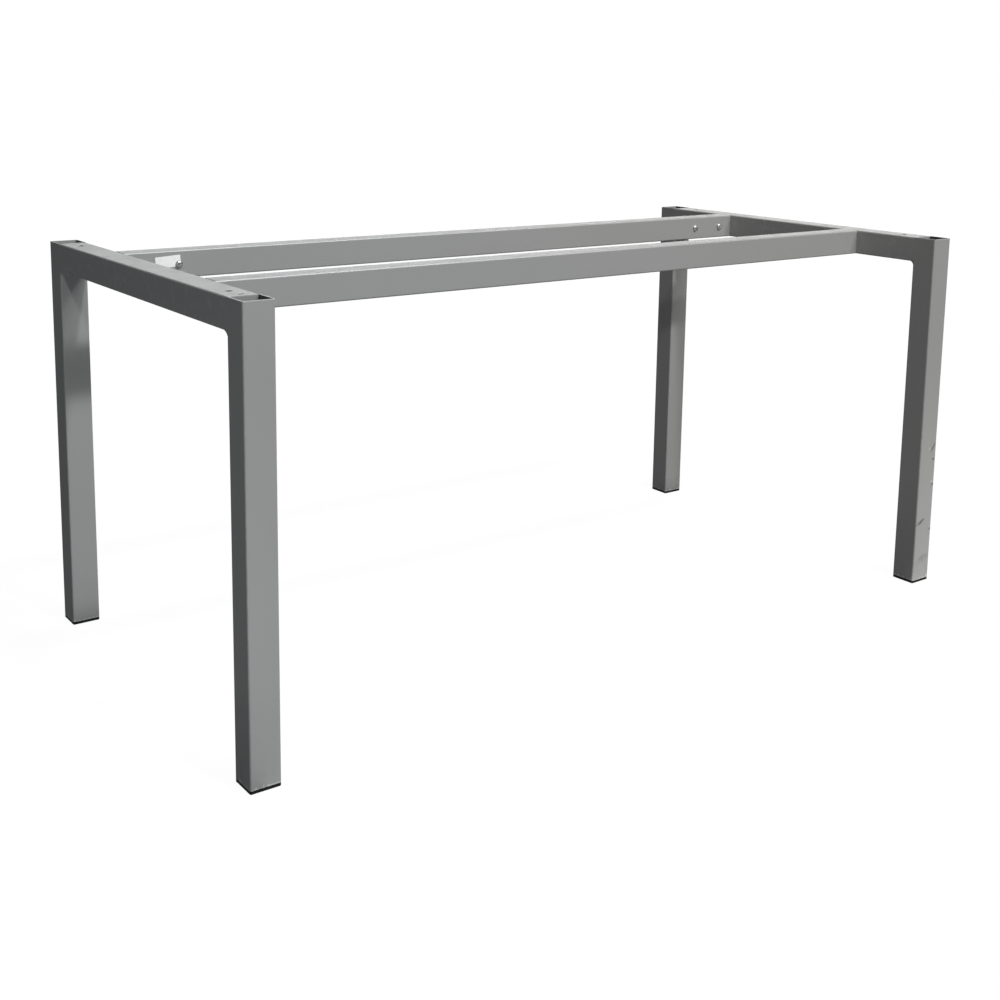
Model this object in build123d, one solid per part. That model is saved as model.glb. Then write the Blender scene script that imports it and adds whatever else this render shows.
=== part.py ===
"""Welded and bolted steel table frame, made to carry a separate table top.

Two end frames, each of two square legs and an end rail welded between them, are held apart by two long
rails. Each long rail slips over a connector welded to the end rail and is held by two bolts from inside.
Sizes are in millimetres. +Z is up, X runs along the length and the origin is on the floor, under the middle.
"""
import os

from build123d import *

# Overall size of the frame
FRAME_LENGTH = 1550.0
FRAME_DEPTH = 800.0
FRAME_HEIGHT = 718.0

# Tubes: the end rails are as wide as the legs, so that their sides are flush
LEG_WIDTH = 50.0
LEG_WALL = 2.0
END_RAIL_HEIGHT = 49.0
END_RAIL_WALL = 2.0
LONG_RAIL_WIDTH = 40.0
LONG_RAIL_HEIGHT = 49.0
LONG_RAIL_WALL = 2.0
LONG_RAIL_SPACING = 370.0
TUBE_INNER_CORNER = 1.0

# Holes in the end rails for the table top's screws and the driver that turns them, set in from the legs
TOP_HOLE_INSET = 45.0
TOP_HOLE_DIAMETER = 9.0
DRIVER_HOLE_DIAMETER = 14.0

# Weld under each end of an end rail: its run along the rail, its drop down the leg and how full it is
WELD_RUN_LEFT = 14.0
WELD_RUN_RIGHT = 7.0
WELD_DROP = 8.0
WELD_FULLNESS = 0.37

# Connectors that the long rails slip over
CONNECTOR_WALL = 3.0
CONNECTOR_CLEARANCE = 1.0
CONNECTOR_MARGIN = 28.0

# Bolts: each end frame is the other one turned round, so its two connectors are drilled at different insets
BOLT_INSET_TURNED = 23.0
BOLT_INSET = 36.0
BOLT_PITCH = 75.0
BOLT_DIAMETER = 8.0
BOLT_HOLE_CLEARANCE = 1.0
BOLT_PROUD = 4.5
BOLT_TIP = 1.0
HEAD_DIAMETER = 14.0
HEAD_HEIGHT = 4.4
HEAD_CROWN = 7.6
SOCKET_WIDTH = 5.0
SOCKET_DEPTH = 2.6

# Square weld nuts inside the connectors
NUT_WIDTH = 14.0
NUT_HEIGHT = 6.5
NUT_CHAMFER = 1.6
THREAD_CLEARANCE = 0.2

# Plastic feet pressed into the legs
FOOT_FLANGE = 5.5
FOOT_CHAMFER = 0.6
PLUG_DEPTH = 26.0
PLUG_WALL = 2.5
FIN_COUNT = 5
FIN_DEPTH = 3.0
FIN_THICKNESS = 1.2
FIN_CLEARANCE = 0.2
PLUG_CORNER = 2.5

# Places that several pieces share
LEG_CORNER = TUBE_INNER_CORNER + LEG_WALL
LEG_BORE = LEG_WIDTH - 2 * LEG_WALL
LEG_X = (FRAME_LENGTH - LEG_WIDTH) / 2
LEG_Y = (FRAME_DEPTH - LEG_WIDTH) / 2
JOINT_X = LEG_X - LEG_WIDTH / 2
JOINT_Y = LEG_Y - LEG_WIDTH / 2
END_RAIL_Z = FRAME_HEIGHT - END_RAIL_HEIGHT / 2
LONG_RAIL_Y = LONG_RAIL_SPACING / 2
LONG_RAIL_Z = FRAME_HEIGHT - LONG_RAIL_HEIGHT / 2
BOLT_FACE = LONG_RAIL_WIDTH / 2
CONNECTOR_WIDTH = LONG_RAIL_WIDTH - 2 * LONG_RAIL_WALL - CONNECTOR_CLEARANCE
CONNECTOR_HEIGHT = LONG_RAIL_HEIGHT - 2 * LONG_RAIL_WALL - CONNECTOR_CLEARANCE
CONNECTOR_LENGTH = max(BOLT_INSET, BOLT_INSET_TURNED) + BOLT_PITCH + CONNECTOR_MARGIN
NUT_FACE = BOLT_FACE - LONG_RAIL_WALL - CONNECTOR_WALL
BOLT_LENGTH = LONG_RAIL_WALL + CONNECTOR_WALL + NUT_HEIGHT + BOLT_PROUD

ENDS = {"left": -1, "right": 1}
SIDES = {"front": -1, "rear": 1}


def tube(plane, across, upright, wall, length):
    """Rectangular tube whose section lies on a plane and runs the same length out of both its sides."""
    outside = RectangleRounded(across, upright, TUBE_INNER_CORNER + wall)
    inside = RectangleRounded(across - 2 * wall, upright - 2 * wall, TUBE_INNER_CORNER)
    return extrude(plane * (outside - inside), amount=length / 2, both=True)


def bolt_places(end, side):
    """The X of the two bolts at one end of one long rail."""
    inset = BOLT_INSET if end == side else BOLT_INSET_TURNED
    return [end * (JOINT_X - inset - step) for step in (0, BOLT_PITCH)]


def facing_middle(x, side, depth):
    """Place on a bolt's axis with +Z turned to the table's middle; depth is from the long rail's centre."""
    return Pos(x, side * (LONG_RAIL_Y - depth), LONG_RAIL_Z) * Rot(90 * side, 0, 0)


def make_leg(end, side):
    """Square leg with an open top, from the foot's flange to the top of the frame."""
    length = FRAME_HEIGHT - FOOT_FLANGE
    middle = FOOT_FLANGE + length / 2
    return Pos(end * LEG_X, side * LEG_Y, middle) * tube(Plane.XY, LEG_WIDTH, LEG_WIDTH, LEG_WALL, length)


def make_end_rail(end):
    """Rail between two legs, with screw holes in its top wall and driver holes below them."""
    rail = tube(Plane.XZ, LEG_WIDTH, END_RAIL_HEIGHT, END_RAIL_WALL, 2 * JOINT_Y)
    for side in SIDES.values():
        place = Pos(0, side * (JOINT_Y - TOP_HOLE_INSET), 0)
        upward = (Align.CENTER, Align.CENTER, Align.MIN)
        downward = (Align.CENTER, Align.CENTER, Align.MAX)
        rail -= place * Cylinder(TOP_HOLE_DIAMETER / 2, END_RAIL_HEIGHT, align=upward)
        rail -= place * Cylinder(DRIVER_HOLE_DIAMETER / 2, END_RAIL_HEIGHT, align=downward)
    return Pos(end * LEG_X, 0, END_RAIL_Z) * rail


def make_weld(end, side):
    """Weld of an end rail to a leg: a hollow fillet below, and the two side grooves filled flush."""
    corner = (0, 0)
    run = WELD_RUN_LEFT if end < 0 else WELD_RUN_RIGHT
    along_rail = (run, 0)
    down_leg = (0, -WELD_DROP)
    middle = (WELD_FULLNESS * run, -WELD_FULLNESS * WELD_DROP)
    fillet_edge = [Polyline(down_leg, corner, along_rail), ThreePointArc(along_rail, middle, down_leg)]
    flat_width = LEG_WIDTH - 2 * LEG_CORNER
    fillet_face = Plane.YZ * make_face(fillet_edge)
    pieces = [Pos(0, 0, -END_RAIL_HEIGHT / 2) * extrude(fillet_face, amount=flat_width / 2, both=True)]
    groove_edge = [
        Line((LEG_WIDTH / 2 - LEG_CORNER, 0), (LEG_WIDTH / 2, 0)),
        Line((LEG_WIDTH / 2, 0), (LEG_WIDTH / 2, -LEG_CORNER)),
        RadiusArc((LEG_WIDTH / 2, -LEG_CORNER), (LEG_WIDTH / 2 - LEG_CORNER, 0), -LEG_CORNER),
    ]
    groove_height = END_RAIL_HEIGHT - 2 * (TUBE_INNER_CORNER + END_RAIL_WALL)
    groove = extrude(make_face(groove_edge), amount=groove_height / 2, both=True)
    pieces += [groove, mirror(groove, Plane.YZ)]
    turn = Rot(0, 0, 0 if side < 0 else 180)
    place = Pos(end * LEG_X, side * JOINT_Y, END_RAIL_Z) * turn
    return Compound([place * piece for piece in pieces])


def make_long_rail(side):
    """Long rail, with the bolt holes in the wall that faces the middle."""
    rail = tube(Plane.YZ, LONG_RAIL_WIDTH, LONG_RAIL_HEIGHT, LONG_RAIL_WALL, 2 * JOINT_X)
    rail = Pos(0, side * LONG_RAIL_Y, LONG_RAIL_Z) * rail
    for end in ENDS.values():
        for x in bolt_places(end, side):
            rail -= facing_middle(x, side, 0) * bolt_hole()
    return rail


def make_connector(end, side):
    """Tube welded to the end rail: the long rail hangs on it and the bolts draw it to the inner side."""
    x = end * (JOINT_X - CONNECTOR_LENGTH / 2)
    y = side * (LONG_RAIL_Y - CONNECTOR_CLEARANCE / 2)
    z = LONG_RAIL_Z + CONNECTOR_CLEARANCE / 2
    connector = tube(Plane.YZ, CONNECTOR_WIDTH, CONNECTOR_HEIGHT, CONNECTOR_WALL, CONNECTOR_LENGTH)
    connector = Pos(x, y, z) * connector
    for x in bolt_places(end, side):
        connector -= facing_middle(x, side, 0) * bolt_hole()
    return connector


def bolt_hole():
    """Hole from the middle of a rail out through the walls on one side."""
    radius = (BOLT_DIAMETER + BOLT_HOLE_CLEARANCE) / 2
    return Cylinder(radius, LONG_RAIL_WIDTH, align=(Align.CENTER, Align.CENTER, Align.MIN))


def button_bolt():
    """Button-head bolt with a hexagon socket, standing on the rail's face: head up, shank down."""
    shank = BOLT_DIAMETER / 2
    head = HEAD_DIAMETER / 2
    crown = HEAD_CROWN / 2
    rim = (head, 0)
    crown_edge = (crown, HEAD_HEIGHT)
    outline = [
        Polyline(
            (0, HEAD_HEIGHT),
            (0, -BOLT_LENGTH),
            (shank - BOLT_TIP, -BOLT_LENGTH),
            (shank, BOLT_TIP - BOLT_LENGTH),
            (shank, 0),
            rim,
        ),
        TangentArc(rim, crown_edge, tangent=(0, 1)),
        Line(crown_edge, (0, HEAD_HEIGHT)),
    ]
    bolt = revolve(Plane.XZ * make_face(outline), Axis.Z)
    socket = Pos(0, 0, HEAD_HEIGHT) * RegularPolygon(SOCKET_WIDTH / 2, 6, major_radius=False)
    return bolt - extrude(socket, amount=-SOCKET_DEPTH)


def weld_nut():
    """Square nut lying on the connector's wall, away from the bolt's head."""
    nut = extrude(Rectangle(NUT_WIDTH, NUT_WIDTH), amount=-NUT_HEIGHT)
    nut = chamfer(nut.edges().filter_by(Axis.Z), NUT_CHAMFER)
    return nut - Cylinder((BOLT_DIAMETER + THREAD_CLEARANCE) / 2, 2 * NUT_HEIGHT)


def make_bolts(end, side):
    """The two bolts at one end of a long rail."""
    return Compound([facing_middle(x, side, BOLT_FACE) * button_bolt() for x in bolt_places(end, side)])


def make_nuts(end, side):
    """The two nuts behind those bolts."""
    return Compound([facing_middle(x, side, NUT_FACE) * weld_nut() for x in bolt_places(end, side)])


def clipped_square(width):
    """Square with its corners cut off, as the plug and its fins have them."""
    square = Rectangle(width, width)
    return chamfer(square.vertices(), PLUG_CORNER)


def make_foot(end, side):
    """Moulded foot: a flange as wide as the leg, and a hollow plug with thin fins that grip the bore."""
    flange = extrude(RectangleRounded(LEG_WIDTH, LEG_WIDTH, LEG_CORNER), amount=FOOT_FLANGE)
    flange = chamfer(flange.faces().sort_by(Axis.Z)[0].edges(), FOOT_CHAMFER)
    plug_width = LEG_BORE - 2 * FIN_DEPTH
    plug_bore = plug_width - 2 * PLUG_WALL
    seat = Pos(0, 0, FOOT_FLANGE)
    foot = flange + seat * extrude(clipped_square(plug_width), amount=PLUG_DEPTH)
    fin = extrude(clipped_square(LEG_BORE - 2 * FIN_CLEARANCE), amount=FIN_THICKNESS)
    fin_pitch = PLUG_DEPTH / FIN_COUNT
    for number in range(FIN_COUNT):
        foot += seat * Pos(0, 0, (number + 0.5) * fin_pitch) * fin
    foot -= seat * extrude(Rectangle(plug_bore, plug_bore), amount=PLUG_DEPTH)
    return Pos(end * LEG_X, side * LEG_Y, 0) * foot


def make_frame():
    """Every piece of the frame, by name."""
    pieces = {}
    for side_name, side in SIDES.items():
        pieces[f"{side_name}_long_rail"] = make_long_rail(side)
    for end_name, end in ENDS.items():
        pieces[f"{end_name}_end_rail"] = make_end_rail(end)
        for side_name, side in SIDES.items():
            corner = f"{end_name}_{side_name}"
            pieces[f"{corner}_leg"] = make_leg(end, side)
            pieces[f"{corner}_foot"] = make_foot(end, side)
            pieces[f"{corner}_weld"] = make_weld(end, side)
            pieces[f"{corner}_connector"] = make_connector(end, side)
            pieces[f"{corner}_bolts"] = make_bolts(end, side)
            pieces[f"{corner}_nuts"] = make_nuts(end, side)
    return pieces


os.makedirs("parts", exist_ok=True)
for name, piece in make_frame().items():
    export_step(piece, f"parts/{name}.step")
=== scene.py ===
"""Finishes, small details and a studio for a welded and bolted steel table frame.

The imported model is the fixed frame. Its tubes, bolts and feet keep their own meshes and get procedural
finishes here. Weld beads, a blank label and the studio are built around them. Metres, +Z up.
"""
import math
from typing import NamedTuple

import bmesh
import bpy
from bpy.props import FloatProperty, FloatVectorProperty, PointerProperty
from mathutils import Matrix, Vector


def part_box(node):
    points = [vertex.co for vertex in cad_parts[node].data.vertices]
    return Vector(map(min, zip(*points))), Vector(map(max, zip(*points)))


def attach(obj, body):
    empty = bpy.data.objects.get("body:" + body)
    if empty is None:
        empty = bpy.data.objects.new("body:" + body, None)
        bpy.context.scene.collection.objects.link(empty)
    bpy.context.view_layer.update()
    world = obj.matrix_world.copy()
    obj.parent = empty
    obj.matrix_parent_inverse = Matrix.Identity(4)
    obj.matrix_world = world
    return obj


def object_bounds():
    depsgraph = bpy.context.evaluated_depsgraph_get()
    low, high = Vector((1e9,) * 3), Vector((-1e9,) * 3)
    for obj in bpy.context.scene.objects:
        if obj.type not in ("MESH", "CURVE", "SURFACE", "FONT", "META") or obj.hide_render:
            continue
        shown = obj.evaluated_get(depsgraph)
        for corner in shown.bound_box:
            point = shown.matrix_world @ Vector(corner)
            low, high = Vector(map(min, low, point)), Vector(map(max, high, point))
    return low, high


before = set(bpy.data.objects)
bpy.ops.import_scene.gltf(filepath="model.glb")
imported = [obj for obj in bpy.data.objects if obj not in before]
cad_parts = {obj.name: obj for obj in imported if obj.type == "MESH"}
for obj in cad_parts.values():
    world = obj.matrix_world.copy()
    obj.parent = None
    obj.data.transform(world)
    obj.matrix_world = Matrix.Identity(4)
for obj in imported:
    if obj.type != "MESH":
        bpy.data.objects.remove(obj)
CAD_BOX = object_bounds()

bl_info = {
    "name": "Steel Table Frame",
    "version": (1, 0, 0),
    "blender": (4, 5, 0),
    "location": "View3D > Sidebar > Table Frame",
    "description": "Paint, zinc, plastic, weld beads, marks and a studio for a steel table frame",
    "category": "Object",
}

MM = 0.001
BODY = "root"
ENDS = {"left": -1, "right": 1}
SIDES = {"front": -1, "rear": 1}
MARKED_LEG = "right_front_leg"

# Places on the frame that finishes and details take from it
LEG_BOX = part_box(MARKED_LEG)
LEG_WIDTH = LEG_BOX[1].x - LEG_BOX[0].x
HALF_LEG = LEG_WIDTH / 2
LEG_CENTRE = (CAD_BOX[1].xy - CAD_BOX[0].xy - Vector((LEG_WIDTH, LEG_WIDTH))) / 2
LEG_FOOT = LEG_BOX[0].z
FRAME_TOP = CAD_BOX[1].z
FRAME_MIDDLE = (CAD_BOX[0] + CAD_BOX[1]) / 2
FRONT_FACE = CAD_BOX[0].y
RAIL_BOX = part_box("left_end_rail")
RAIL_UNDERSIDE = RAIL_BOX[0].z
RAIL_END = RAIL_BOX[1].y
LABEL_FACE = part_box("rear_long_rail")[0].y

# Wall and outer corner of the square tubes
TUBE_WALL = 2 * MM
TUBE_CORNER = 3 * MM

# Faces that meet at less than this angle are shaded as one
SHARP_ANGLE = math.radians(40)


class PaintSettings(bpy.types.PropertyGroup):
    """Silver powder coat on the tubes and welds."""

    colour: FloatVectorProperty(
        name="Colour", description="Colour of clean paint", subtype="COLOR", default=(0.372, 0.380, 0.380)
    )
    # Painted warm light: the paint's colour towards the right, standing in for warmer light there
    warm_light_colour: FloatVectorProperty(
        name="Warm Colour", description="What the paint leans to on the right", subtype="COLOR",
        default=(0.388, 0.380, 0.360),
    )
    roughness: FloatProperty(
        name="Roughness", description="Roughness of clean paint", default=0.42, min=0, max=1, subtype="FACTOR"
    )
    metal: FloatProperty(
        name="Metal", description="Share of metal flake in the paint", default=0.25, min=0, max=1,
        subtype="FACTOR",
    )
    peel_width: FloatProperty(
        name="Peel Width", description="Width of the coat's small waves", default=1.6 * MM, unit="LENGTH"
    )
    peel_depth: FloatProperty(
        name="Peel Depth", description="Depth of the coat's small waves", default=0.02 * MM, unit="LENGTH"
    )
    flake_width: FloatProperty(
        name="Flake Width", description="Width of a metal flake", default=0.25 * MM, unit="LENGTH"
    )


class WeldSettings(bpy.types.PropertyGroup):
    """Bead under each end of the end rails."""

    fullness: FloatProperty(
        name="Fullness", description="Share of its run and drop at the bead's middle", default=0.37, min=0.3,
        max=0.5, subtype="FACTOR",
    )
    length: FloatProperty(name="Length", description="Length of the bead", default=49 * MM, unit="LENGTH")
    ripple_pitch: FloatProperty(
        name="Ripple Pitch", description="From one ripple to the next", default=2.6 * MM, unit="LENGTH"
    )
    ripple_height: FloatProperty(
        name="Ripple Height", description="Height of a ripple under the paint", default=0.35 * MM,
        unit="LENGTH",
    )


class BoltSettings(bpy.types.PropertyGroup):
    """Zinc plate on the bolts and nuts."""

    colour: FloatVectorProperty(
        name="Colour", description="Colour of the zinc", subtype="COLOR", default=(0.66, 0.67, 0.68)
    )
    spangle_colour: FloatVectorProperty(
        name="Spangle Colour", description="Colour of a bright spangle", subtype="COLOR",
        default=(0.78, 0.78, 0.77),
    )
    dull_colour: FloatVectorProperty(
        name="Dull Colour", description="Colour of dulled zinc", subtype="COLOR", default=(0.46, 0.46, 0.45)
    )
    roughness: FloatProperty(
        name="Roughness", description="Roughness of bright zinc", default=0.32, min=0, max=1, subtype="FACTOR"
    )


class FootSettings(bpy.types.PropertyGroup):
    """Black plastic of the feet."""

    colour: FloatVectorProperty(
        name="Colour", description="Colour of the plastic", subtype="COLOR", default=(0.006, 0.006, 0.007)
    )
    grain_colour: FloatVectorProperty(
        name="Grain Colour", description="Colour of the raised grain", subtype="COLOR",
        default=(0.012, 0.012, 0.013),
    )
    scuff_colour: FloatVectorProperty(
        name="Scuff Colour", description="Colour of scuffs near the floor", subtype="COLOR",
        default=(0.06, 0.059, 0.057),
    )
    roughness: FloatProperty(
        name="Roughness", description="Roughness between the grain", default=0.46, min=0, max=1,
        subtype="FACTOR",
    )


class LabelSettings(bpy.types.PropertyGroup):
    """Blank paper label on the rear long rail."""

    width: FloatProperty(name="Width", description="Width of the label", default=46 * MM, unit="LENGTH")
    height: FloatProperty(name="Height", description="Height of the label", default=20 * MM, unit="LENGTH")
    thickness: FloatProperty(
        name="Thickness", description="Thickness of the paper", default=0.15 * MM, unit="LENGTH"
    )
    corner: FloatProperty(name="Corner", description="Radius of a corner", default=1.5 * MM, unit="LENGTH")
    lift: FloatProperty(
        name="Lift", description="How far an edge has lifted", default=0.6 * MM, unit="LENGTH"
    )
    tilt: FloatProperty(
        name="Tilt", description="Turn from level", default=math.radians(3.4), subtype="ANGLE"
    )
    place: FloatVectorProperty(
        name="Place", description="Middle of the label, along and up", size=2, unit="LENGTH",
        default=(CAD_BOX[0].x + 128 * MM, FRAME_TOP - 19 * MM),
    )
    colour: FloatVectorProperty(
        name="Colour", description="Colour of the paper", subtype="COLOR", default=(0.93, 0.94, 0.94)
    )
    fibre_colour: FloatVectorProperty(
        name="Fibre Colour", description="Colour of the fibres", subtype="COLOR", default=(0.86, 0.87, 0.87)
    )
    stain_colour: FloatVectorProperty(
        name="Stain Colour", description="Colour of stains", subtype="COLOR", default=(0.74, 0.73, 0.69)
    )
    roughness: FloatProperty(
        name="Roughness", description="Roughness of the coated paper", default=0.38, min=0, max=1,
        subtype="FACTOR",
    )


class StudioSettings(bpy.types.PropertyGroup):
    """Floor, lights and camera."""

    strength: FloatProperty(
        name="Strength", description="All lights, made brighter or dimmer", default=1.0, min=0,
        subtype="FACTOR",
    )
    room: FloatVectorProperty(
        name="Room", description="Light from all around", subtype="COLOR", default=(0.113, 0.115, 0.118)
    )
    floor_width: FloatProperty(
        name="Floor Width", description="Width of the floor", default=600, unit="LENGTH"
    )
    camera_place: FloatVectorProperty(
        name="Camera Place", description="Where the camera is", subtype="TRANSLATION",
        default=(-1.56149, -2.06982, 1.01522),
    )
    camera_pan: FloatProperty(
        name="Pan", description="Turn to the right of +Y", default=math.radians(36.24), subtype="ANGLE"
    )
    camera_tilt: FloatProperty(
        name="Tilt", description="Turn above the horizon", default=math.radians(-9.398), subtype="ANGLE"
    )
    camera_roll: FloatProperty(
        name="Roll", description="Turn about the line of sight", default=math.radians(0.852), subtype="ANGLE"
    )
    lens: FloatProperty(name="Lens", description="Focal length in millimetres", default=49.0147, min=1)
    shift: FloatVectorProperty(
        name="Shift", description="Shift of the picture, across and up", size=2, default=(-0.00357, -0.19259)
    )


class TableFrameSettings(bpy.types.PropertyGroup):
    """Everything that can be changed on the table frame's looks."""

    paint: PointerProperty(type=PaintSettings)
    weld: PointerProperty(type=WeldSettings)
    bolts: PointerProperty(type=BoltSettings)
    feet: PointerProperty(type=FootSettings)
    label: PointerProperty(type=LabelSettings)
    studio: PointerProperty(type=StudioSettings)


class Value:
    """A shader value that takes part in Python arithmetic: each operator adds a Math node."""

    def __init__(self, shader, socket):
        self.shader = shader
        self.socket = socket

    def __add__(self, other):
        return self.shader.math("ADD", self, other)

    def __radd__(self, other):
        return self.shader.math("ADD", other, self)

    def __sub__(self, other):
        return self.shader.math("SUBTRACT", self, other)

    def __rsub__(self, other):
        return self.shader.math("SUBTRACT", other, self)

    def __mul__(self, other):
        return self.shader.math("MULTIPLY", self, other)

    def __rmul__(self, other):
        return self.shader.math("MULTIPLY", other, self)

    def __abs__(self):
        return self.shader.math("ABSOLUTE", self)


class NodeTree:
    """A node tree that grows by one method."""

    def __init__(self, tree):
        self.tree = tree

    def node(self, kind, settings=None, sockets=None):
        """Adds a node, sets it up, then gives its sockets their values or links."""
        made = self.tree.nodes.new(kind)
        for name, value in (settings or {}).items():
            setattr(made, name, value)
        self.feed(made, sockets or {})
        return made

    def feed(self, node, sockets):
        """Gives a node's sockets values or links."""
        for name, value in sockets.items():
            source = value.socket if isinstance(value, Value) else value
            if isinstance(source, bpy.types.NodeSocket):
                self.tree.links.new(source, node.inputs[name])
            else:
                node.inputs[name].default_value = source


class Shader(NodeTree):
    """The nodes of one material, around its Principled shader."""

    def __init__(self, name):
        self.material = bpy.data.materials.new(name)
        self.material.use_nodes = True
        super().__init__(self.material.node_tree)
        self.surface = self.tree.nodes["Principled BSDF"]
        self.place = self.node("ShaderNodeTexCoord").outputs["Object"]

    def math(self, operation, *values):
        """One Math node on values and numbers."""
        made = self.node("ShaderNodeMath", {"operation": operation}, dict(enumerate(values)))
        return Value(self, made.outputs["Value"])

    def distance(self, aside, onward):
        """How far a point lies from another, from two parts at right angles."""
        return self.math("SQRT", aside * aside + onward * onward)

    def smooth(self, value, low, high):
        """A smooth rise from 0 at low to 1 at high, or a fall where high is the smaller."""
        sockets = {"Value": value, "From Min": low, "From Max": high}
        made = self.node("ShaderNodeMapRange", {"interpolation_type": "SMOOTHSTEP"}, sockets)
        return Value(self, made.outputs["Result"])

    def noise(self, width, detail):
        """Soft noise whose features have that width."""
        sockets = {"Vector": self.place, "Scale": 1 / width, "Detail": detail}
        made = self.node("ShaderNodeTexNoise", None, sockets)
        return Value(self, made.outputs["Fac"])

    def swing(self, width, detail):
        """Soft noise that swings about zero, by up to a half."""
        return self.noise(width, detail) - 0.5

    def patches(self, width, detail, low, high):
        """Mask of patches of that width, between the levels of noise where they begin and are full."""
        return self.smooth(self.noise(width, detail), low, high)

    def grains(self, width):
        """A value of its own for each small cell of that width."""
        made = self.node("ShaderNodeTexVoronoi", None, {"Vector": self.place, "Scale": 1 / width})
        parts = self.node("ShaderNodeSeparateColor", None, {"Color": made.outputs["Color"]})
        return Value(self, parts.outputs["Red"])

    def axes(self, vector):
        """The three parts of a vector."""
        parts = self.node("ShaderNodeSeparateXYZ", None, {"Vector": vector})
        return [Value(self, parts.outputs[axis]) for axis in "XYZ"]

    def facing(self):
        """The three parts of the surface's normal."""
        return self.axes(self.node("ShaderNodeNewGeometry").outputs["Normal"])

    def mix(self, factor, first, second):
        """A colour between two colours."""
        made = self.node("ShaderNodeMix", {"data_type": "RGBA"}, {0: factor, 6: first, 7: second})
        return made.outputs[2]

    def bump(self, height, distance):
        """A normal for a height from 0 to 1 over that distance."""
        made = self.node("ShaderNodeBump", None, {"Strength": 1.0, "Distance": distance, "Height": height})
        return made.outputs["Normal"]

    def finish(self, **sockets):
        """Feeds the Principled shader and hands over the material."""
        self.feed(self.surface, {name.replace("_", " "): value for name, value in sockets.items()})
        return self.material


def shade(colour, factor=1):
    """A colour with alpha, made lighter or darker by a factor."""
    return (*[min(part * factor, 1) for part in colour], 1.0)


def nodes_with(slot):
    """The frame's nodes of one slot."""
    found = [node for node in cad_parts.values() if node.data.materials[0].name.startswith(slot)]
    if not found:
        raise RuntimeError(f"the frame has no node with the slot {slot}")
    return found


def finish_nodes(nodes, material):
    """Gives nodes of the frame their finish."""
    for node in nodes:
        node.material_slots[0].material = material


def new_piece(name, mesh, material):
    """Puts a finished bmesh into the scene as a smooth piece of the frame, with its material."""
    bmesh.ops.recalc_face_normals(mesh, faces=mesh.faces)
    data = bpy.data.meshes.new(name)
    mesh.to_mesh(data)
    mesh.free()
    data.materials.append(material)
    data.polygons.foreach_set("use_smooth", [True] * len(data.polygons))
    data.set_sharp_from_angle(angle=SHARP_ANGLE)
    piece = bpy.data.objects.new(name, data)
    bpy.context.scene.collection.objects.link(piece)
    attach(piece, BODY)


# Slot of the painted nodes, and the two paints that are made for it
PAINT_SLOT = "silver_paint"
CLEAN_PAINT = "silver_paint_clean"
MARKED_PAINT = "silver_paint_marked"

# Clean paint: its blotches, flakes, painted warm light and orange peel, and how much each one changes
BLOTCHES = (220 * MM, 3.0)
BLOTCH_SHARE = 0.3
BLOTCH_ROUGHNESS = 0.10
FLAKE_SHARE = 0.5
COAT_TONES = (0.93, 1.07)
WARM_LIGHT_SHARE = 0.5
PEEL_DETAIL = 2.0
COAT_IOR = 1.5


class PaintLayer(NamedTuple):
    """A layer over the paint, of wear and of painted light and shade alike: colour, how strongly it covers
    the paint, added roughness, and depth in coat waves.
    """

    colour: tuple
    cover: float
    roughness: float = 0.0
    depth: float = 0.0


# Layers with a colour of their own: wear, with a painted sheen in the dust, painted shade in the pits and
# bores, and a painted highlight on the pit rims
# Dust on the tops, paler than the paint, that is also a painted sheen on them
DUST_AND_SHEEN = PaintLayer(colour=(0.50, 0.49, 0.47, 1), cover=0.35, roughness=0.18)
# A dark ring painted in and around the screw holes
DARK_SCREW_RING = PaintLayer(colour=(0.10, 0.10, 0.10, 1), cover=0.6)
CHIPPED = PaintLayer(colour=(0.62, 0.62, 0.61, 1), cover=0.75)
DIRT = PaintLayer(colour=(0.17, 0.165, 0.15, 1), cover=0.1, roughness=0.12)
# Painted highlight on the rims of the weld pits
HIGHLIT_PIT_RIM = PaintLayer(colour=(0.62, 0.62, 0.60, 1), cover=0.4)
# Painted shade in the weld pits, which are also sunk by the bump
SHADED_PIT = PaintLayer(colour=(0.05, 0.05, 0.05, 1), cover=0.85, depth=25)
# Bare steel inside the bores, near black as painted shade too
BARE_STEEL_AND_SHADE = PaintLayer(colour=(0.03, 0.03, 0.03, 1), cover=1.0)
SMUDGE = PaintLayer(colour=(0.17, 0.165, 0.15, 1), cover=0.4)
DARK_SCRATCH = PaintLayer(colour=(0.11, 0.11, 0.11, 1), cover=0.8, depth=5)
PALE_SCRATCH = PaintLayer(colour=(0.66, 0.66, 0.64, 1), cover=0.6)

# Paint made paler: rubbed corners that are also a painted highlight, and a painted highlight on the legs'
# rims
# Rubbed corners, also a painted highlight on the legs' upright corners
RUBBED_AND_HIGHLIT_TONE = 1.35
RUBBED_AND_HIGHLIT_COVER = 0.35
RUBBED_ROUGHNESS = -0.08
# Painted highlight on the rims of the front legs' open tops
RIM_HIGHLIGHT_TONE = 1.5
RIM_HIGHLIGHT_COVER = 0.8

# Patches of wear and of painted sheen and highlight: width and detail of their noise, and the levels where
# they begin and are full
DUST_AND_SHEEN_PATCHES = (30 * MM, 5.0, 0.45, 0.75)
RUBBED_AND_HIGHLIT_PATCHES = (12 * MM, 4.0, 0.52, 0.72)
DIRT_PATCHES = (20 * MM, 4.0, 0.50, 0.68)
SCRATCH_PATCHES = (2.5 * MM, 3.0, 0.18, 0.45)
SMUDGE_PATCHES = (9 * MM, 3.0, 0.32, 0.62)

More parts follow.
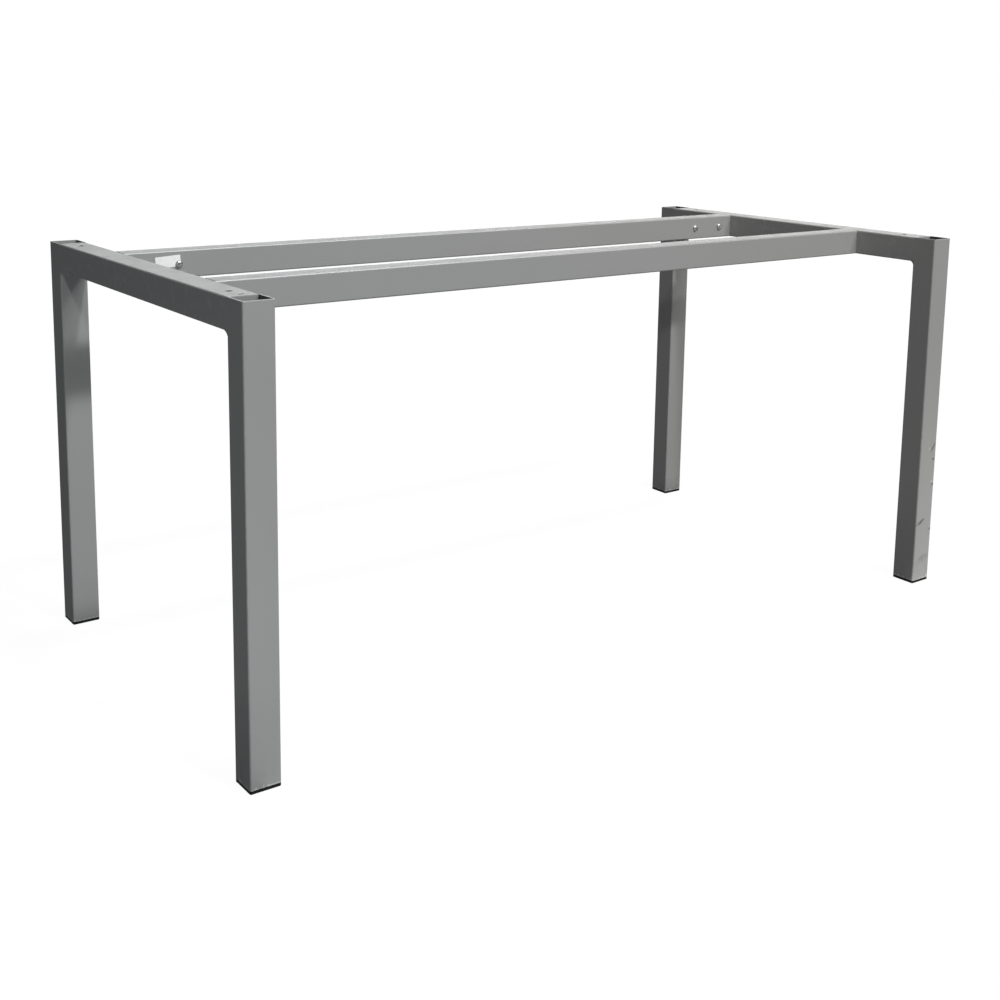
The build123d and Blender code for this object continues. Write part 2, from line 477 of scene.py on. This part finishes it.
# Bands where wear and painted highlight come in: from a leg's corner, below the frame's top, above the floor,
# behind a leg's front
RUBBED_AND_HIGHLIT_BAND = (3.2 * MM, 1.2 * MM)
RIM_HIGHLIGHT_BAND = (1.7 * MM, 1.0 * MM)
TOP_BAND = (2.0 * MM, 1.0 * MM)
DIRT_BAND = (90 * MM, 10 * MM)
FRONT_BAND = (2.5 * MM, 1.0 * MM)
PAST_LEG = 1.0 * MM

# How far up a face has to look before it counts as a top, in the upward part of its normal
FACES_UP = (0.75, 0.98)

# Ragged edges: their noise, how far it moves the edge of pits and grime, and by what share that of marks
RAGGED = (2.2 * MM, 3.0)
RAGGED_REACH = 4.5 * MM
RAGGED_SHARE = 1.6

# Chips above the feet: their noise, the level it swings about, how high it reaches, and their soft edge
CHIPS = (7 * MM, 3.0)
CHIP_LEVEL = 0.45
CHIP_REACH = 20 * MM
CHIP_EDGE = (1.8 * MM, 0.5 * MM)

# Dark ring around the screw holes in the end rails' tops, 45 mm from the rails' ends
SCREW_PLACE = RAIL_END - 45 * MM
SCREW_RING_EDGE = (7.5 * MM, 5.0 * MM)

# Pits in the ground weld on the left end rail, in millimetres from its middle line and its front end
WELD_PITS = [(-0.2, 10.2), (5.4, 13.2)]

# Radii of a pit's painted shade and of its rim's painted highlight, the share of a radius where they are
# full, and their length in widths
PIT_RADIUS = 2.9 * MM
PIT_RIM_RADIUS = 4.2 * MM
PIT_EDGE = 0.75
PIT_LENGTH = 2.0

# Bores that the coat hardly reaches, painted dark as bare steel and as shade: half their width, their ends,
# and soft edges at a wall and at the top
BORE_HALF = HALF_LEG - TUBE_WALL
BORE_END = -FRONT_FACE - TUBE_WALL
BORE_EDGE = (0.3 * MM, 0.1 * MM)
BORE_TOP = (0.05 * MM, 0.3 * MM)

# Share of bare steel and painted shade in a bore, and how much less on walls that look to the front, where
# spray and light come in, by their normal along Y
BARE_AND_SHADE_SHARE = 0.92
SPRAYED_AND_LIT_SHARE = 0.85
SPRAYED_AND_LIT_FACES = (-0.3, -0.8)

# Marks on the marked leg's front, in millimetres from its left edge and the floor: start, end and width
DARK_SCRATCHES = [
    ((47.0, 296.0), (32.5, 277.0), 5.0),
    ((39.5, 260.7), (45.5, 260.9), 4.6),
    ((43.0, 209.0), (46.0, 205.5), 5.6),
    ((5.5, 126.0), (24.0, 134.5), 8.6),
    ((44.0, 111.0), (46.5, 110.0), 5.6),
]
PALE_SCRATCHES = [
    ((39.5, 212.5), (43.0, 213.2), 6.0),
    ((27.0, 287.0), (31.0, 282.0), 3.6),
]
SMUDGES = [
    ((19.0, 47.0), (45.0, 56.0), 19.0),
    ((6.0, 37.0), (17.0, 41.0), 13.0),
]

# Soft edge of a mark, in shares of its half width
MARK_EDGE = (1.0, 0.55)


class TubeSpot:
    """Where a point of the paint lies, how far from the nearest leg's middle, and which way it faces."""

    def __init__(self, shader):
        self.along, self.across, self.up = shader.axes(shader.place)
        self.facing_y, self.facing_up = shader.facing()[1:]
        self.aside = abs(abs(self.along) - LEG_CENTRE.x)
        self.onward = abs(abs(self.across) - LEG_CENTRE.y)


def coat_colour(shader, settings, spot, blotches):
    """Colour of clean paint: blotches and flakes, and a warm tint painted towards the right for warmer light
    there.
    """
    flakes = shader.grains(settings.flake_width) - 0.5
    tone = 0.5 + blotches * BLOTCH_SHARE + flakes * FLAKE_SHARE
    dark, light = [shade(settings.colour, factor) for factor in COAT_TONES]
    warm_light_mask = shader.smooth(spot.along, CAD_BOX[0].x, CAD_BOX[1].x)
    return shader.mix(warm_light_mask * WARM_LIGHT_SHARE, shader.mix(tone, dark, light), shade(settings.warm_light_colour))


def dust_and_sheen_on_tops(shader, spot):
    """Mask of dust on the faces that look up, which also makes the tops paler as a painted sheen."""
    return shader.smooth(spot.facing_up, *FACES_UP) * shader.patches(*DUST_AND_SHEEN_PATCHES)


def rubbed_and_highlit_corners(shader, spot):
    """Mask of the legs' upright corners, rubbed in patches and painted paler as a highlight."""
    from_middle = shader.math("MINIMUM", spot.aside, spot.onward)
    corner = shader.smooth(from_middle, HALF_LEG - RUBBED_AND_HIGHLIT_BAND[0], HALF_LEG - RUBBED_AND_HIGHLIT_BAND[1])
    corner = corner * shader.smooth(from_middle, HALF_LEG + PAST_LEG, HALF_LEG)
    return corner * shader.patches(*RUBBED_AND_HIGHLIT_PATCHES)


def painted_rim_highlights(shader, spot):
    """Mask of a painted highlight on the open tops of the front legs, along the rims."""
    from_middle = shader.math("MAXIMUM", spot.aside, spot.onward)
    at_leg = shader.smooth(from_middle, HALF_LEG + PAST_LEG, HALF_LEG)
    at_top = shader.smooth(spot.up, FRAME_TOP - RIM_HIGHLIGHT_BAND[0], FRAME_TOP - RIM_HIGHLIGHT_BAND[1])
    in_front = shader.smooth(spot.across, RAIL_END, -RAIL_END)
    return at_leg * at_top * in_front


def ragged(shader, reach):
    """Noise that moves an edge in and out, over that reach."""
    return shader.swing(*RAGGED) * reach


def dark_screw_rings(shader, spot):
    """Mask of a ragged dark ring painted in and around the screw holes in the end rails' tops."""
    away = shader.distance(spot.aside, abs(spot.across) - SCREW_PLACE) + ragged(shader, RAGGED_REACH)
    at_top = shader.smooth(spot.up, FRAME_TOP - TOP_BAND[0], FRAME_TOP - TOP_BAND[1])
    return shader.smooth(away, *SCREW_RING_EDGE) * at_top


def chipped_hems(shader, spot):
    """Mask of the legs' lower edges, where the coat has chipped."""
    hem = spot.up - LEG_FOOT - (shader.noise(*CHIPS) - CHIP_LEVEL) * CHIP_REACH
    return shader.smooth(hem, *CHIP_EDGE)


def low_dirt(shader, spot):
    """Mask of faint dirt near the floor."""
    return shader.smooth(spot.up, *DIRT_BAND) * shader.patches(*DIRT_PATCHES)


def weld_pits(shader, spot):
    """Masks of the ragged pits in the ground weld, painted dark as shade, and of their rims, painted pale as
    a highlight.
    """
    edge = ragged(shader, RAGGED_REACH)
    pits = []
    rim_highlights = []
    for x, y in WELD_PITS:
        aside = spot.along - (x * MM - LEG_CENTRE.x)
        onward = (spot.across - (y * MM - RAIL_END)) * (1 / PIT_LENGTH)
        away = shader.distance(aside, onward) + edge
        pits.append(shader.smooth(away, PIT_RADIUS, PIT_RADIUS * PIT_EDGE))
        rim_highlights.append(shader.smooth(away, PIT_RIM_RADIUS, PIT_RIM_RADIUS * PIT_EDGE))
    on_top = shader.smooth(spot.facing_up, *FACES_UP)
    return sum(pits) * on_top, sum(rim_highlights) * on_top


def within(shader, value, limit):
    """Mask of what lies inside a bore's wall, with a thin soft edge."""
    return shader.smooth(value, limit + BORE_EDGE[0], limit + BORE_EDGE[1])


def bare_and_shaded_bores(shader, spot):
    """Mask of bare steel and painted shade on the walls inside the legs and end rails, weaker on walls that
    look to the front, where spray and light came in.
    """
    inside = within(shader, spot.aside, BORE_HALF) * within(shader, abs(spot.across), BORE_END)
    inside = inside * shader.smooth(spot.up, RAIL_UNDERSIDE + TUBE_WALL / 2, RAIL_UNDERSIDE + TUBE_WALL)
    inside = inside * shader.smooth(spot.up, FRAME_TOP - BORE_TOP[0], FRAME_TOP - BORE_TOP[1])
    sprayed_and_lit = within(shader, spot.onward, BORE_HALF) * shader.smooth(spot.facing_y, *SPRAYED_AND_LIT_FACES)
    return inside * (BARE_AND_SHADE_SHARE - sprayed_and_lit * SPRAYED_AND_LIT_SHARE)


def mark(shader, spot, edge, start, end, width):
    """Mask of a ragged mark, thin at its ends, from one point to another on the marked leg's front."""
    middle = (start + end) / 2
    run = (end - start).normalized()
    half_length = (end - start).length / 2 + width / 2
    aside = spot.along - (LEG_BOX[0].x + middle.x)
    above = spot.up - middle.y
    lengthwise = (aside * run.x + above * run.y) * (1 / half_length)
    crosswise = (aside * -run.y + above * run.x) * (2 / width)
    return shader.smooth(shader.distance(lengthwise, crosswise) + edge, *MARK_EDGE)


def front_marks(shader, spot, marks):
    """Mask of a list of marks on the marked leg's front."""
    edge = ragged(shader, RAGGED_SHARE)
    masks = []
    for start, end, width in marks:
        masks.append(mark(shader, spot, edge, Vector(start) * MM, Vector(end) * MM, width * MM))
    return shader.smooth(spot.across, FRONT_FACE + FRONT_BAND[0], FRONT_FACE + FRONT_BAND[1]) * sum(masks)


def tube_wear_and_painted_light(shader, settings, spot):
    """Masks and kinds of the wear and of the painted light and shade on all tubes, from the lowest layer to
    the highest.
    """
    rubbed_and_highlit = PaintLayer(shade(settings.colour, RUBBED_AND_HIGHLIT_TONE), RUBBED_AND_HIGHLIT_COVER, RUBBED_ROUGHNESS)
    rim_highlight = PaintLayer(shade(settings.colour, RIM_HIGHLIGHT_TONE), RIM_HIGHLIGHT_COVER)
    pits, highlit_pit_rims = weld_pits(shader, spot)
    return [
        (dust_and_sheen_on_tops(shader, spot), DUST_AND_SHEEN),
        (rubbed_and_highlit_corners(shader, spot), rubbed_and_highlit),
        (painted_rim_highlights(shader, spot), rim_highlight),
        (dark_screw_rings(shader, spot), DARK_SCREW_RING),
        (chipped_hems(shader, spot), CHIPPED),
        (low_dirt(shader, spot), DIRT),
        (highlit_pit_rims, HIGHLIT_PIT_RIM),
        (pits, SHADED_PIT),
        (bare_and_shaded_bores(shader, spot), BARE_STEEL_AND_SHADE),
    ]


def leg_wear(shader, spot):
    """Masks and kinds of the wear on the marked leg alone, from the lowest layer to the highest."""
    broken = shader.patches(*SCRATCH_PATCHES)
    return [
        (front_marks(shader, spot, SMUDGES) * shader.patches(*SMUDGE_PATCHES), SMUDGE),
        (front_marks(shader, spot, DARK_SCRATCHES) * broken, DARK_SCRATCH),
        (front_marks(shader, spot, PALE_SCRATCHES) * broken, PALE_SCRATCH),
    ]


def make_silver_paint(name, settings, marked):
    """Satin silver powder coat: flake, orange peel and soft blotches, with wear and painted light and shade
    laid over them.
    """
    shader = Shader(name)
    spot = TubeSpot(shader)
    blotches = shader.swing(*BLOTCHES)
    paint = coat_colour(shader, settings, spot, blotches)
    roughness = settings.roughness + blotches * BLOTCH_ROUGHNESS
    relief = shader.noise(settings.peel_width, PEEL_DETAIL)
    layers = tube_wear_and_painted_light(shader, settings, spot)
    if marked:
        layers += leg_wear(shader, spot)
    # Lay each layer over the paint, the painted light and shade as well as the wear
    for mask, wear in layers:
        paint = shader.mix(mask * wear.cover, paint, wear.colour)
        if wear.roughness:
            roughness = roughness + mask * wear.roughness
        if wear.depth:
            relief = relief - mask * wear.depth
    return shader.finish(
        Base_Color=paint, Roughness=roughness, Metallic=settings.metal, IOR=COAT_IOR,
        Normal=shader.bump(relief, settings.peel_depth),
    )


class TABLEFRAME_OT_paint(bpy.types.Operator):
    """Coat the rails, legs, connectors and welds with silver paint"""

    bl_idname = "table_frame.paint"
    bl_label = "Paint Tubes"

    def execute(self, context):
        settings = context.scene.table_frame.paint
        marked = make_silver_paint(MARKED_PAINT, settings, True)
        clean = make_silver_paint(CLEAN_PAINT, settings, False)
        finish_nodes(nodes_with(PAINT_SLOT), clean)
        finish_nodes([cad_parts[MARKED_LEG]], marked)
        return {"FINISHED"}


# Weld beads: steps along and across, cover over the solid weld, and the fade and curve of their ripples
BEAD_STEPS = 132
BEAD_ARC_STEPS = 10
BEAD_COVER = 0.12 * MM
BEAD_END_FADE = 5 * MM
RIPPLE_LAG = 1.6


def circle_through(first, middle, last):
    """Centre and radius of the circle through three points of a plane."""
    chord = last - first
    bend = middle - first
    turn = 2 * (bend.x * chord.y - bend.y * chord.x)
    across = (chord.y * bend.length_squared - bend.y * chord.length_squared) / turn
    upward = (bend.x * chord.length_squared - chord.x * bend.length_squared) / turn
    centre = Vector((across, upward))
    return first + centre, centre.length


def bead_arc(settings, run, drop):
    """Centre, radius, first angle and sweep of a bead's hollow face, seen along the bead."""
    along_rail = Vector((run, 0))
    down_leg = Vector((0, drop))
    middle = Vector((run, drop)) * settings.fullness
    centre, radius = circle_through(along_rail, middle, down_leg)
    start = along_rail - centre
    return centre, radius, math.atan2(start.y, start.x), -start.angle_signed(down_leg - centre)


def bead_face(settings, arc, x):
    """Points of the rippled face at one place along a bead, out along the rail and down the leg."""
    centre, radius, first, sweep = arc
    fade = min((settings.length / 2 - abs(x)) / BEAD_END_FADE, 1)
    points = []
    for number in range(BEAD_ARC_STEPS + 1):
        share = number / BEAD_ARC_STEPS
        swell = math.sin(math.pi * share)
        wave = 0.5 + 0.5 * math.sin(math.tau * x / settings.ripple_pitch + RIPPLE_LAG * swell)
        reach = radius - BEAD_COVER - swell * fade * wave * settings.ripple_height
        angle = first + sweep * share
        outward = centre.x + reach * math.cos(angle)
        downward = centre.y + reach * math.sin(angle)
        points.append((max(outward, 0), max(downward, 0)))
    return points


def bead_rings(settings, corner, side, run, drop):
    """Rings of a hollow fillet bead along X, set back round the tubes' corners at its ends."""
    arc = bead_arc(settings, run, drop)
    rings = []
    for step in range(BEAD_STEPS + 1):
        x = (step / BEAD_STEPS - 0.5) * settings.length
        past_flat = max(abs(x) - (HALF_LEG - TUBE_CORNER), 0)
        recess = TUBE_CORNER - math.sqrt(TUBE_CORNER ** 2 - past_flat ** 2)
        root = corner + Vector((x, side * recess, recess))
        face = [root + Vector((0, -side * out, -down)) for out, down in bead_face(settings, arc, x)]
        rings.append([root, *face])
    return rings


def loft(rings):
    """A closed skin over rings of points, with a cap at each end."""
    mesh = bmesh.new()
    rows = [[mesh.verts.new(point) for point in ring] for ring in rings]
    count = len(rows[0])
    for row, after in zip(rows, rows[1:]):
        for number in range(count):
            follower = (number + 1) % count
            mesh.faces.new((row[number], row[follower], after[follower], after[number]))
    mesh.faces.new(rows[0])
    mesh.faces.new(reversed(rows[-1]))
    return mesh


class TABLEFRAME_OT_weld_beads(bpy.types.Operator):
    """Lay a rippled bead over each weld under the end rails"""

    bl_idname = "table_frame.weld_beads"
    bl_label = "Weld Beads"

    def execute(self, context):
        settings = context.scene.table_frame.weld
        paint = bpy.data.materials[CLEAN_PAINT]
        for end_name, end in ENDS.items():
            for side_name, side in SIDES.items():
                weld = f"{end_name}_{side_name}_weld"
                low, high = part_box(weld)
                run = RAIL_END - min(abs(low.y), abs(high.y))
                drop = RAIL_UNDERSIDE - low.z
                corner = Vector((end * LEG_CENTRE.x, side * RAIL_END, RAIL_UNDERSIDE))
                bead = loft(bead_rings(settings, corner, side, run, drop))
                new_piece(f"{weld}_bead", bead, paint)
        return {"FINISHED"}


# Zinc plate: its spangle, dull patches and turned marks, and how much each one changes
SPANGLE_WIDTH = 0.6 * MM
SPANGLE_SHARE = 0.5
SPANGLE_ROUGHNESS = 0.05
DULL_PATCHES = (3 * MM, 4.0, 0.45, 0.75)
DULL_SHARE = 0.5
DULL_ROUGHNESS = 0.16
TURNED_MARKS = (0.35 * MM, 2.0)
TURNED_DEPTH = 0.01 * MM


def make_zinc(settings):
    """Bright zinc plate: fine spangle, turned marks and a little dulling."""
    shader = Shader("zinc")
    spangle = shader.grains(SPANGLE_WIDTH)
    dulled = shader.patches(*DULL_PATCHES)
    zinc = shader.mix(spangle * SPANGLE_SHARE, shade(settings.colour), shade(settings.spangle_colour))
    zinc = shader.mix(dulled * DULL_SHARE, zinc, shade(settings.dull_colour))
    roughness = settings.roughness + spangle * SPANGLE_ROUGHNESS + dulled * DULL_ROUGHNESS
    turned = shader.bump(shader.noise(*TURNED_MARKS), TURNED_DEPTH)
    return shader.finish(Base_Color=zinc, Roughness=roughness, Metallic=1.0, Normal=turned)


class TABLEFRAME_OT_zinc(bpy.types.Operator):
    """Plate the bolts and nuts with bright zinc"""

    bl_idname = "table_frame.zinc"
    bl_label = "Zinc Bolts"

    def execute(self, context):
        finish_nodes(nodes_with("zinc"), make_zinc(context.scene.table_frame.bolts))
        return {"FINISHED"}


# Black plastic: its moulded grain and the scuffs near the floor, and how much each one changes
MOULD_GRAIN = (0.35 * MM, 3.0)
GRAIN_SHARE = 0.5
GRAIN_ROUGHNESS = 0.12
GRAIN_DEPTH = 0.03 * MM
SCUFF_BAND = (2.2 * MM, 0.4 * MM)
SCUFF_PATCHES = (4 * MM, 5.0, 0.48, 0.70)
SCUFF_SHARE = 0.3
SCUFF_ROUGHNESS = 0.2


def make_black_plastic(settings):
    """Moulded black plastic with a fine matt grain, scuffed where it meets the floor."""
    shader = Shader("black_plastic")
    up = shader.axes(shader.place)[2]
    grain = shader.noise(*MOULD_GRAIN)
    scuffed = shader.smooth(up, *SCUFF_BAND) * shader.patches(*SCUFF_PATCHES)
    plastic = shader.mix(grain * GRAIN_SHARE, shade(settings.colour), shade(settings.grain_colour))
    plastic = shader.mix(scuffed * SCUFF_SHARE, plastic, shade(settings.scuff_colour))
    roughness = settings.roughness + grain * GRAIN_ROUGHNESS + scuffed * SCUFF_ROUGHNESS
    return shader.finish(Base_Color=plastic, Roughness=roughness, Normal=shader.bump(grain, GRAIN_DEPTH))


class TABLEFRAME_OT_feet(bpy.types.Operator):
    """Give the feet their black plastic"""

    bl_idname = "table_frame.feet"
    bl_label = "Plastic Feet"

    def execute(self, context):
        finish_nodes(nodes_with("black_plastic"), make_black_plastic(context.scene.table_frame.feet))
        return {"FINISHED"}


# Label paper: its fibres and stains, and how much each one changes
FIBRES = (0.5 * MM, 4.0)
FIBRE_SHARE = 0.4
FIBRE_ROUGHNESS = 0.15
FIBRE_DEPTH = 0.01 * MM
STAIN_PATCHES = (9 * MM, 3.0, 0.42, 0.72)
STAIN_SHARE = 0.25

# Shape of the label: its grid, the glue under it, small waves in radians a metre, and its lifted left edge
LABEL_COLUMNS = 46
LABEL_ROWS = 20
LABEL_GLUE = 0.05 * MM
LABEL_WAVE = 0.05 * MM
LABEL_WAVES = (700, 500)
LIFT_START = 0.72
LIFT_RISE = 12
LIFT_LEVEL = 0.6


def make_label_paper(settings):
    """White coated paper with fine fibres, a little yellowed in patches."""
    shader = Shader("label_paper")
    fibre = shader.noise(*FIBRES)
    stain = shader.patches(*STAIN_PATCHES)
    paper = shader.mix(fibre * FIBRE_SHARE, shade(settings.colour), shade(settings.fibre_colour))
    paper = shader.mix(stain * STAIN_SHARE, paper, shade(settings.stain_colour))
    roughness = settings.roughness + fibre * FIBRE_ROUGHNESS
    return shader.finish(Base_Color=paper, Roughness=roughness, Normal=shader.bump(fibre, FIBRE_DEPTH))


def label_point(settings, across, upward):
    """A point of the label, from shares of its width and height, with round corners and a lifted edge."""
    flat_width = settings.width / 2 - settings.corner
    flat_height = settings.height / 2 - settings.corner
    x = across * settings.width
    z = upward * settings.height
    past_x = abs(x) - flat_width
    past_z = abs(z) - flat_height
    if past_x > 0 and past_z > 0:
        shrink = max(past_x, past_z) / math.hypot(past_x, past_z)
        x = math.copysign(flat_width + past_x * shrink, x)
        z = math.copysign(flat_height + past_z * shrink, z)
    past_start = max(-across * 2 - LIFT_START, 0)
    lifted = settings.lift * past_start ** 2 * LIFT_RISE * (LIFT_LEVEL + upward)
    wave = LABEL_WAVE * math.sin(x * LABEL_WAVES[0] + z * LABEL_WAVES[1])
    away = settings.thickness + LABEL_GLUE + lifted + abs(wave)
    turned = Matrix.Rotation(settings.tilt, 2) @ Vector((x, z))
    return Vector((settings.place[0] + turned.x, LABEL_FACE - away, settings.place[1] + turned.y))


class TABLEFRAME_OT_label(bpy.types.Operator):
    """Stick a blank label on the rear long rail"""

    bl_idname = "table_frame.label"
    bl_label = "Blank Label"

    def execute(self, context):
        settings = context.scene.table_frame.label
        mesh = bmesh.new()
        bmesh.ops.create_grid(mesh, x_segments=LABEL_COLUMNS, y_segments=LABEL_ROWS, size=0.5)
        for vertex in mesh.verts:
            vertex.co = label_point(settings, vertex.co.x, vertex.co.y)
        solid = bmesh.ops.solidify(mesh, geom=mesh.faces[:], thickness=settings.thickness)
        if not solid["geom"]:
            raise RuntimeError("the label could not be made solid")
        new_piece("blank_label", mesh, make_label_paper(settings))
        return {"FINISHED"}


# Floor: its own dark colour, and the glow that makes it pale near the frame and white far away
WHITE = (1, 1, 1, 1)
FLOOR_COLOUR = (0.04, 0.04, 0.04, 1)
FLOOR_GLOW = (0.97, 0.97, 0.97, 1)
FLOOR_NEAR = 1.6
FLOOR_FAR = 5.0

# Soft lamps that look at the middle of the frame: name, power, place, width and height
LAMPS = (
    ("front_left", 162, (-2.4, -9.0, 4.5), (0.45, 0.35)),
    ("key", 238, (0.3, -4.2, 6.3), (0.5, 0.4)),
    ("key_right", 125, (1.65, -4.2, 6.3), (1.7, 0.7)),
    ("key_far", 170, (3.35, -4.2, 6.3), (1.7, 0.7)),
    ("overhead", 56, (2.5, 1.5, 5.0), (1.5, 1.5)),
    ("rear_wall", 182, (6.0, 8.0, 2.0), (9.0, 3.0)),
)

# Light that comes up from the floor: name, power, place along X and Y, width and depth
FLOOR_LIGHTS = (
    ("floor_front", 1.7, (-0.9, -1.3), (0.8, 0.9)),
    ("floor_side", 1.7, (-1.6, -1.0), (1.0, 1.2)),
    ("floor_left", 0.5, (-0.3, -0.7), (0.9, 0.6)),
    ("floor_right", 2.5, (1.3, -0.95), (1.2, 1.1)),
    ("floor_rear", 0.36, (0.0, 0.115), (1.8, 0.43)),
)
FLOOR_LIGHT_HEIGHT = 4 * MM
UPWARD = Vector((0, 0, 1))

# Width of the camera's sensor, in millimetres
SENSOR_WIDTH = 36


def lay_floor(studio):
    """A pale floor that glows, so that shadows on it are faint and it fades to the white backdrop."""
    mesh = bmesh.new()
    bmesh.ops.create_grid(mesh, x_segments=1, y_segments=1, size=studio.floor_width / 2)
    data = bpy.data.meshes.new("floor")
    mesh.to_mesh(data)
    mesh.free()
    shader = Shader("pale_floor")
    away = shader.node("ShaderNodeVectorMath", {"operation": "LENGTH"}, {0: shader.place}).outputs["Value"]
    glow = shader.mix(shader.smooth(away, FLOOR_NEAR, FLOOR_FAR), FLOOR_GLOW, WHITE)
    pale = shader.finish(
        Base_Color=FLOOR_COLOUR, Roughness=1.0, Specular_IOR_Level=0.0, Emission_Color=glow,
        Emission_Strength=1.0,
    )
    data.materials.append(pale)
    floor = bpy.data.objects.new("floor", data)
    bpy.context.scene.collection.objects.link(floor)
    floor.visible_diffuse = False
    floor.visible_glossy = False


def hang_light(name, power, place, size, direction):
    """One soft rectangular light that the camera doesn't see."""
    lamp = bpy.data.lights.new(name, "AREA")
    lamp.shape = "RECTANGLE"
    lamp.size, lamp.size_y = size
    lamp.energy = power
    light = bpy.data.objects.new(name, lamp)
    light.location = place
    light.rotation_mode = "QUATERNION"
    light.rotation_quaternion = direction.to_track_quat("-Z", "Y")
    light.visible_camera = False
    bpy.context.scene.collection.objects.link(light)


def hang_lights(studio):
    """Lamps in front and above, a pale wall that the paint reflects, and light from the floor."""
    for name, power, place, size in LAMPS:
        hang_light(name, power * studio.strength, place, size, FRAME_MIDDLE - Vector(place))
    for name, power, place, size in FLOOR_LIGHTS:
        hang_light(name, power * studio.strength, (*place, FLOOR_LIGHT_HEIGHT), size, UPWARD)


def fill_room(scene, studio):
    """Dim light from all around; the camera itself sees a white backdrop."""
    world = bpy.data.worlds.new("room")
    scene.world = world
    world.use_nodes = True
    room = NodeTree(world.node_tree)
    dim = room.tree.nodes["Background"]
    room.feed(dim, {"Color": shade(studio.room)})
    white = room.node("ShaderNodeBackground", None, {"Color": WHITE})
    seen = room.node("ShaderNodeLightPath").outputs["Is Camera Ray"]
    sockets = {"Fac": seen, 1: dim.outputs["Background"], 2: white.outputs["Background"]}
    either = room.node("ShaderNodeMixShader", None, sockets)
    room.feed(room.tree.nodes["World Output"], {"Surface": either.outputs["Shader"]})


def place_camera(scene, studio):
    """The camera, at the height and turn of the reference view."""
    lens = bpy.data.cameras.new("camera")
    lens.lens = studio.lens
    lens.sensor_width = SENSOR_WIDTH
    lens.shift_x, lens.shift_y = studio.shift
    lens.clip_end = 2 * studio.floor_width
    camera = bpy.data.objects.new("camera", lens)
    pan = Matrix.Rotation(-studio.camera_pan, 4, "Z")
    tilt = Matrix.Rotation(math.radians(90) + studio.camera_tilt, 4, "X")
    roll = Matrix.Rotation(studio.camera_roll, 4, "Z")
    camera.matrix_world = Matrix.Translation(studio.camera_place) @ pan @ tilt @ roll
    scene.collection.objects.link(camera)
    scene.camera = camera


class TABLEFRAME_OT_stage(bpy.types.Operator):
    """Set the frame on a pale floor, with soft light and the camera"""

    bl_idname = "table_frame.stage"
    bl_label = "Studio"

    def execute(self, context):
        studio = context.scene.table_frame.studio
        lay_floor(studio)
        hang_lights(studio)
        fill_room(context.scene, studio)
        place_camera(context.scene, studio)
        context.scene.view_settings.view_transform = "Standard"
        return {"FINISHED"}


OPERATORS = (
    TABLEFRAME_OT_paint,
    TABLEFRAME_OT_weld_beads,
    TABLEFRAME_OT_zinc,
    TABLEFRAME_OT_feet,
    TABLEFRAME_OT_label,
    TABLEFRAME_OT_stage,
)


class TABLEFRAME_PT_sidebar(bpy.types.Panel):
    """The table frame's settings and steps"""

    bl_idname = "TABLEFRAME_PT_sidebar"
    bl_label = "Table Frame"
    bl_space_type = "VIEW_3D"
    bl_region_type = "UI"
    bl_category = "Table Frame"

    def draw(self, context):
        settings = context.scene.table_frame
        groups = (
            settings.paint, settings.weld, settings.bolts, settings.feet, settings.label, settings.studio
        )
        for group in groups:
            box = self.layout.box()
            for name in group.bl_rna.properties.keys():
                if name not in ("rna_type", "name"):
                    box.prop(group, name)
        for operator in OPERATORS:
            self.layout.operator(operator.bl_idname)


CLASSES = (
    PaintSettings,
    WeldSettings,
    BoltSettings,
    FootSettings,
    LabelSettings,
    StudioSettings,
    TableFrameSettings,
    *OPERATORS,
    TABLEFRAME_PT_sidebar,
)


def register():
    for item in CLASSES:
        bpy.utils.register_class(item)
    bpy.types.Scene.table_frame = PointerProperty(type=TableFrameSettings)


def unregister():
    del bpy.types.Scene.table_frame
    for item in reversed(CLASSES):
        bpy.utils.unregister_class(item)


def main():
    """Builds every piece and the studio."""
    register()
    bpy.ops.table_frame.paint()
    bpy.ops.table_frame.weld_beads()
    bpy.ops.table_frame.zinc()
    bpy.ops.table_frame.feet()
    bpy.ops.table_frame.label()
    bpy.ops.table_frame.stage()


if __name__ == "__main__":
    main()
